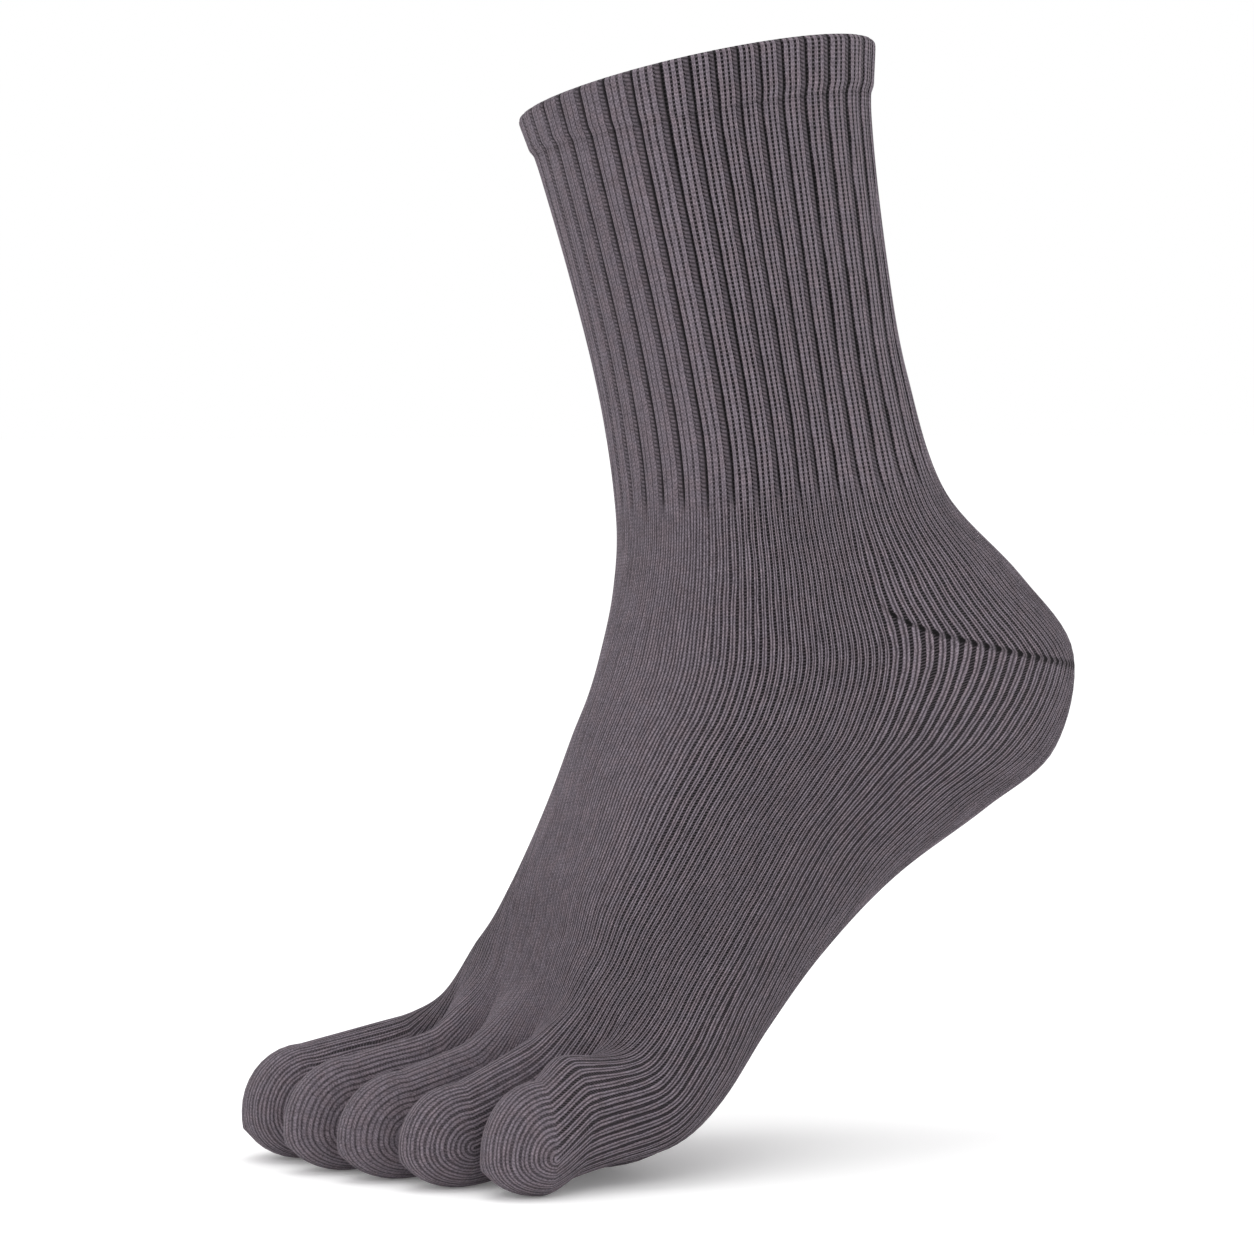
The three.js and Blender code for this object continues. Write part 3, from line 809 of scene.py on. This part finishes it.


# The even tone of fuzzy stitches, the furrow's place in a rib in wales, and plain knit's Bars and painted shade
# between the strands.
EVEN_TONE = 0.72
FURROW = 0.1
PLAIN_MIDDLE_SHADE = 0.8
PLAIN_BARS = 0.35


def make_knit_stitch():
    """Plain knit from wale and course numbers: two bright strands to a wale, with painted shade in the holes
    between wales.

    With u the part of the wale, side = |2u - 1| is 0 along its middle and 1 between wales. The gap between wales
    is where side passes an edge that falls as the cloth is stretched, and a thread crosses it once a course.
    Split is the painted shade in the dip between the strands, Bars how bright the crossing threads are, and Fuzz
    draws all of it to an even tone. The output Wale is the wale number as it wanders, and Side a step of side.
    """
    group, given, result = new_group(
        "knit_stitch",
        ["Stitches"],
        {"Open": 1.0, "Fuzz": 0.0, "Split": 0.5, "Bars": 0.5},
        ["Tone", "Height", "Wale", "Side"],
    )
    stitches, opened, fuzz, middle_shade, brightness = given.outputs[:5]
    parts = feed(group, node(group, "ShaderNodeSeparateXYZ"), stitches)
    course = parts.outputs[1]
    slow = noise(group, scaled(group, stitches, (0.8, 0.07, 1.0)), 1.0, 2.0)
    wale = maths(group, "MULTIPLY_ADD", maths(group, "SUBTRACT", slow, 0.5), 0.45, parts.outputs[0])
    part = maths(group, "FRACT", wale)
    fine = noise(group, scaled(group, stitches, (6.0, 2.2, 1.0)), 1.0, 2.0, 0.6)
    evenly = maths(group, "ABSOLUTE", maths(group, "MULTIPLY_ADD", part, 2.0, -1.0))
    side = maths(group, "MULTIPLY_ADD", maths(group, "SUBTRACT", fine, 0.5), 0.35, evenly)

    # The strands, which swell once a course along a slant and are plumper where the cloth is open.
    # Painted shade: the dip between the two strands of a wale is darkened.
    middle = maths(group, "MULTIPLY", ramp(group, side, 0.32, 0.04), middle_shade)
    plump = maths(group, "MULTIPLY_ADD", opened, 0.28, 0.84)
    strand = maths(group, "MULTIPLY", maths(group, "SUBTRACT", 1.0, middle), plump)
    slanted = maths(group, "FRACT", maths(group, "MULTIPLY_ADD", side, 0.7, course))
    swell = maths(group, "SINE", maths(group, "MULTIPLY", slanted, math.pi))
    yarn = maths(group, "MULTIPLY", strand, maths(group, "MULTIPLY_ADD", swell, 0.5, 0.85))

    # The gap between wales, painted dark as shade and more so where the cloth is open, and the threads that cross
    # it.
    edge = maths(group, "MULTIPLY_ADD", opened, -0.27, 0.78)
    gap = ramp(group, maths(group, "MULTIPLY", maths(group, "SUBTRACT", side, edge), 6.0), 0.0, 1.0)
    beat = maths(group, "COSINE", maths(group, "MULTIPLY", course, 2 * math.pi))
    bars = maths(group, "MULTIPLY_ADD", ramp(group, beat, 0.2, -0.8), brightness, 0.02)
    depth = maths(group, "MULTIPLY", gap, maths(group, "MULTIPLY_ADD", opened, 0.3, 0.7))
    sharp = maths(group, "MULTIPLY_ADD", maths(group, "SUBTRACT", bars, yarn), depth, yarn)

    # The blur of the tone and of the height.
    blur = maths(group, "MULTIPLY", fuzz, 0.75)
    tone = maths(group, "MULTIPLY_ADD", maths(group, "SUBTRACT", EVEN_TONE, sharp), blur, sharp)
    bulge = maths(group, "MULTIPLY_ADD", swell, 0.4, 0.6)
    lift = maths(group, "MULTIPLY", bulge, maths(group, "SUBTRACT", 1.0, gap))
    full = maths(group, "MULTIPLY", lift, strand)
    height = maths(group, "MULTIPLY", full, maths(group, "SUBTRACT", 1.0, blur))
    feed(group, result, tone, height, wale, ramp(group, side, 0.1, 0.6))
    return group


def make_rib_furrow():
    """The low part of a rib: Line is the painted shade along its furrow, Purl the sunk wale beside it
    and Lump that wale's tone.

    Each is a step of the way from the furrow, in wales from -2 to 2.
    """
    group, given, result = new_group("rib_furrow", ["Stitches"], {"Wale": 0.0}, ["Line", "Purl", "Lump"])
    stitches, wale = given.outputs[:2]
    course = feed(group, node(group, "ShaderNodeSeparateXYZ"), stitches).outputs[1]
    half = WALES_PER_RIB / 2
    shifted = maths(group, "ADD", wale, half - FURROW)
    turn = maths(group, "FRACT", maths(group, "DIVIDE", shifted, WALES_PER_RIB))
    way = maths(group, "MULTIPLY_ADD", turn, WALES_PER_RIB, -half)
    furrow_shade = ramp(group, maths(group, "ABSOLUTE", way), 0.36, 0.1)
    purl = maths(group, "MULTIPLY", ramp(group, way, 0.1, 0.3), ramp(group, way, 0.92, 0.76))
    slanted = maths(group, "MULTIPLY_ADD", way, 0.6, course)
    wave = maths(group, "SINE", maths(group, "MULTIPLY", slanted, 2 * math.pi))
    feed(group, result, furrow_shade, purl, maths(group, "MULTIPLY_ADD", wave, 0.3, 0.58))
    return group


def make_heather():
    """Uneven yarn: Tone is a brightness about 1 that wanders at several scales, one of them in fuzzy cloth only.

    Tint is a slow change of hue, and Fibre a fine unevenness for the bumps.
    """
    group, given, result = new_group("heather", ["Place", "Stitches"], {"Fuzz": 0.0}, ["Tone", "Tint", "Fibre"])
    place, stitches, fuzz = given.outputs[:3]
    tone = 1.0
    layers = [
        (noise(group, place, 40.0, 2.0), 0.2),
        (noise(group, place, 420.0, 3.0, 0.6), 0.4),
        (noise(group, place, 2400.0, 2.0, 0.7), 1.9),
        (noise(group, scaled(group, stitches, (2.0, 0.12, 1.0)), 1.0, 1.0), 0.4),
        (noise(group, place, 1300.0, 3.0, 0.7), maths(group, "MULTIPLY", fuzz, 2.6)),
    ]
    for value, strength in layers:
        tone = maths(group, "MULTIPLY_ADD", maths(group, "SUBTRACT", value, 0.5), strength, tone)
    feed(group, result, tone, noise(group, place, 330.0, 3.0), noise(group, place, 3800.0, 2.0, 0.6))
    return group


knit_stitch = make_knit_stitch()
rib_furrow = make_rib_furrow()
heather = make_heather()

# The yarn's colour, and its warmer places.
YARN = (0.150, 0.1265, 0.149, 1.0)
YARN_WARM = (0.157, 0.1275, 0.147, 1.0)


def group_node(tree, group, *values):
    """A node of a group, with its first inputs fed."""
    return feed(tree, node(tree, "ShaderNodeGroup", node_tree=group), *values)


def knit_material(name, ribbed):
    """Cotton knit: the yarn's colour times the stitches' tone and the heather, with the stitches as bumps."""
    material = bpy.data.materials.new(name)
    material.use_nodes = True
    tree = material.node_tree
    shader = tree.nodes["Principled BSDF"]
    uv = node(tree, "ShaderNodeUVMap", uv_map="stitches").outputs[0]
    place = node(tree, "ShaderNodeTexCoord").outputs["Object"]
    marks = [node(tree, "ShaderNodeAttribute", attribute_name=label) for label in ("fuzz", "open", "mark")]
    fuzz, opened, mark = (made.outputs["Fac"] for made in marks)
    stitch = group_node(tree, knit_stitch, uv, opened, fuzz, PLAIN_MIDDLE_SHADE, PLAIN_BARS)
    yarn = group_node(tree, heather, place, uv, fuzz)
    tone = stitch.outputs["Tone"]
    if ribbed:
        # Ribs have less painted shade between the strands and brighter threads, a lumpy purl wale and painted
        # shade in their furrow.
        tree.links.new(maths(tree, "MULTIPLY_ADD", mark, -0.6, PLAIN_MIDDLE_SHADE), stitch.inputs["Split"])
        tree.links.new(maths(tree, "MULTIPLY_ADD", mark, 0.2, PLAIN_BARS), stitch.inputs["Bars"])
        rib = group_node(tree, rib_furrow, uv, stitch.outputs["Wale"])
        purl = maths(tree, "MULTIPLY", rib.outputs["Purl"], mark)
        tone = maths(tree, "MULTIPLY_ADD", maths(tree, "SUBTRACT", rib.outputs["Lump"], tone), purl, tone)
        # Painted shade: the rib's furrow is darkened where the rib is marked.
        tone = darker(tree, tone, maths(tree, "MULTIPLY", rib.outputs["Line"], mark), 0.85)
        tone = darker(tree, tone, mark, 0.07)
    else:
        # The heel seam is a dark notch in each wale.
        near = ramp(tree, maths(tree, "ABSOLUTE", mark), 1.1, 0.3)
        deep = maths(tree, "MULTIPLY_ADD", opened, 0.7, 0.25)
        notch = maths(tree, "MULTIPLY", stitch.outputs["Side"], deep)
        tone = darker(tree, tone, maths(tree, "MULTIPLY", near, notch), 1.0)
    tone = maths(tree, "MULTIPLY", tone, yarn.outputs["Tone"])

    hue = node(tree, "ShaderNodeMix", data_type="RGBA")
    hue.inputs[6].default_value = YARN
    hue.inputs[7].default_value = YARN_WARM
    tree.links.new(ramp(tree, yarn.outputs["Tint"], 0.4, 0.65), hue.inputs[0])
    colour = node(tree, "ShaderNodeVectorMath", operation="SCALE")
    tree.links.new(hue.outputs[2], colour.inputs[0])
    tree.links.new(tone, colour.inputs["Scale"])
    tree.links.new(colour.outputs[0], shader.inputs["Base Color"])

    bump = node(tree, "ShaderNodeBump")
    set_inputs(bump, {"Strength": 1.0, "Distance": 0.25 * MM})
    height = maths(tree, "MULTIPLY_ADD", yarn.outputs["Fibre"], 0.5, stitch.outputs["Height"])
    tree.links.new(height, bump.inputs["Height"])
    tree.links.new(bump.outputs[0], shader.inputs["Normal"])
    set_inputs(shader, {"Roughness": 0.95, "Specular IOR Level": 0.08})
    set_inputs(shader, {"Sheen Weight": 0.08, "Sheen Roughness": 0.6, "Sheen Tint": (0.85, 0.8, 0.85, 1.0)})
    return material


rib_knit = knit_material("rib_knit_cotton", True)
plain_knit = knit_material("plain_knit_cotton", False)
put(make_welt(), rib_knit, "rib_knit", "welt")
put(make_leg(), rib_knit, "rib_knit", "ribbed_leg")
plain_nodes = ["ankle", "heel", "foot"] + ["toe_" + toe.name for toe in toes]
put(make_foot(), plain_knit, "plain_knit", *plain_nodes)

# Camera: the photograph's angle, with the whole 1254 x 1254 frame, aimed at a height over the floor.
CAMERA_AZIMUTH = math.radians(-27)
CAMERA_ELEVATION = math.radians(2.7)
CAMERA_DISTANCE = 1.05
AIM_HEIGHT = 0.119
LENS = 135.65
target = Vector((-ORIGIN[0], -ORIGIN[1], AIM_HEIGHT - ORIGIN[2]))
level = math.cos(CAMERA_ELEVATION)
across, forward = math.sin(CAMERA_AZIMUTH) * level, -math.cos(CAMERA_AZIMUTH) * level
back = Vector((across, forward, math.sin(CAMERA_ELEVATION)))
camera = bpy.data.objects.new("camera", bpy.data.cameras.new("camera"))
bpy.context.collection.objects.link(camera)
camera.data.lens = LENS
camera.data.sensor_width = 36
camera.data.clip_end = 50
camera.location = target + back * CAMERA_DISTANCE
camera.rotation_euler = back.to_track_quat("Z", "Y").to_euler()
bpy.context.scene.camera = camera

# Floor: a wide white square under the toes, which glows a little.
FLOOR_REACH = 20
FLOOR_GLOW = 0.12
WHITE = (1.0, 1.0, 1.0, 1.0)
floor_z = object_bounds()[0][2]
floor_corners = [(x * FLOOR_REACH, y * FLOOR_REACH, floor_z) for x, y in ((-1, -1), (1, -1), (1, 1), (-1, 1))]
floor_mesh = bpy.data.meshes.new("floor")
floor_mesh.from_pydata(floor_corners, [], [(0, 1, 2, 3)])
floor = bpy.data.objects.new("floor", floor_mesh)
bpy.context.collection.objects.link(floor)
floor_material = bpy.data.materials.new("floor_white")
floor_material.use_nodes = True
floor_shader = floor_material.node_tree.nodes["Principled BSDF"]
set_inputs(floor_shader, {"Base Color": WHITE, "Roughness": 0.9, "Specular IOR Level": 0.0})
set_inputs(floor_shader, {"Emission Color": WHITE, "Emission Strength": FLOOR_GLOW})
floor_mesh.materials.append(floor_material)

# Light: an even white world and two softboxes.
world = bpy.data.worlds.new("studio")
bpy.context.scene.world = world
world.use_nodes = True
set_inputs(world.node_tree.nodes["Background"], {"Color": WHITE, "Strength": 1.0})


def softbox(name, place, aim, size, power):
    """A square area light at a place, turned to its aim."""
    light = bpy.data.lights.new(name, "AREA")
    light.size = size
    light.energy = power
    lamp = bpy.data.objects.new(name, light)
    lamp.location = place
    lamp.rotation_euler = (Vector(place) - Vector(aim)).to_track_quat("Z", "Y").to_euler()
    bpy.context.collection.objects.link(lamp)


softbox("key", (-0.9, -1.1, 0.7), target, 0.8, 4)
softbox("top", (-0.2, 0.1, 1.2), target, 0.9, 4)

bpy.context.scene.view_settings.view_transform = "Standard"
